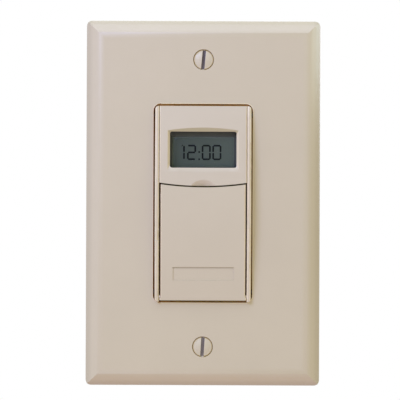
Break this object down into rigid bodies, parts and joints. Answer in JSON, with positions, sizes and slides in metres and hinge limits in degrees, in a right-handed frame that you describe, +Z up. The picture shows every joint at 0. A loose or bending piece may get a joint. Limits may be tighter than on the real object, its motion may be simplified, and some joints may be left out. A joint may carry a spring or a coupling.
{
  "type": "timer light switch",
  "caption": "In-wall timer light switch: bevelled wall plate around a crowned front with a clock display and a hinged push door over its buttons, on a strap with a rear housing.",
  "frame": {"origin": "middle of the box-screw pattern on the wall's face, which is also the plate's middle", "axes": "+X to the right seen from the front, +Y into the wall, +Z up"},
  "size_m": [0.0794, 0.0419, 0.1238],
  "materials": {
    "plate_plastic": "satin moulded",
    "face_plastic": "satin moulded",
    "door_plastic": "satin moulded",
    "screw_paint": "painted head, bare slot",
    "zinc_steel": "zinc plated",
    "clear_lens": "clear moulded",
    "lcd_glass": "polished sheet",
    "polarizer_film": "dark film",
    "reflector_foil": "matt foil",
    "key_plastic": "matt moulded",
    "grey_plastic": "matt moulded",
    "white_plastic": "matt moulded",
    "strip_rubber": "conductive layered rubber",
    "black_plastic": "matt moulded",
    "plunger_plastic": "matt moulded",
    "cell_steel": "plated can",
    "contact_brass": "spring strip",
    "terminal_tin": "tinned",
    "board_laminate": "solder resist",
    "blue_plastic": "moulded",
    "yellow_plastic": "moulded",
    "can_sleeve": "shrink sleeve",
    "fuse_body": "lacquered"
  },
  "bodies": {
    "frame": {"wall_plate": "plate_plastic", "plate_screws": "screw_paint", "mounting_strap": "zinc_steel", "box_screws": "zinc_steel", "front_housing": "face_plastic", "display_lens": "clear_lens", "lcd_polarizer": "polarizer_film", "lcd_front_glass": "lcd_glass", "lcd_rear_glass": "lcd_glass", "lcd_reflector": "reflector_foil", "lcd_holder": "white_plastic", "rubber_strips": "strip_rubber", "switch_bodies": "black_plastic", "battery_drawer": "white_plastic", "coin_cell": "cell_steel", "drawer_guide": "black_plastic", "positive_contact": "contact_brass", "negative_contact": "contact_brass", "display_board": "board_laminate", "controller_chip": "black_plastic", "clock_crystal": "cell_steel", "power_board": "board_laminate", "board_link": "black_plastic", "relay": "blue_plastic", "film_capacitor": "yellow_plastic", "can_capacitor": "can_sleeve", "varistor": "blue_plastic", "rectifier": "black_plastic", "fuse": "fuse_body", "lead_terminals": "terminal_tin", "rear_housing": "black_plastic", "housing_screws": "zinc_steel"},
    "on_off": {"on_off_bar": "key_plastic", "on_off_plunger": "plunger_plastic"},
    "door": {"door": "door_plastic"},
    "mode": {"mode_button": "key_plastic", "mode_plunger": "plunger_plastic"},
    "minus": {"minus_button": "key_plastic", "minus_plunger": "plunger_plastic"},
    "plus": {"plus_button": "key_plastic", "plus_plunger": "plunger_plastic"},
    "reset": {"reset_button": "grey_plastic", "reset_plunger": "plunger_plastic"}
  },
  "joints": [
    {"name": "on_off_press", "type": "slide", "parent": "frame", "child": "on_off", "axis": [0, 1, 0], "range_m": [0, 0.0006], "stiffness_N_per_m": 1500},
    {"name": "door_open", "type": "hinge", "parent": "on_off", "child": "door", "pos_m": [0, -0.0062, -0.0316], "axis": [1, 0, 0], "range_deg": [0, 100]},
    {"name": "mode_press", "type": "slide", "parent": "frame", "child": "mode", "axis": [0, 1, 0], "range_m": [0, 0.0005], "stiffness_N_per_m": 1000},
    {"name": "minus_press", "type": "slide", "parent": "frame", "child": "minus", "axis": [0, 1, 0], "range_m": [0, 0.0005], "stiffness_N_per_m": 1000},
    {"name": "plus_press", "type": "slide", "parent": "frame", "child": "plus", "axis": [0, 1, 0], "range_m": [0, 0.0005], "stiffness_N_per_m": 1000},
    {"name": "reset_press", "type": "slide", "parent": "frame", "child": "reset", "axis": [0, 1, 0], "range_m": [0, 0.0005], "stiffness_N_per_m": 1000}
  ]
}
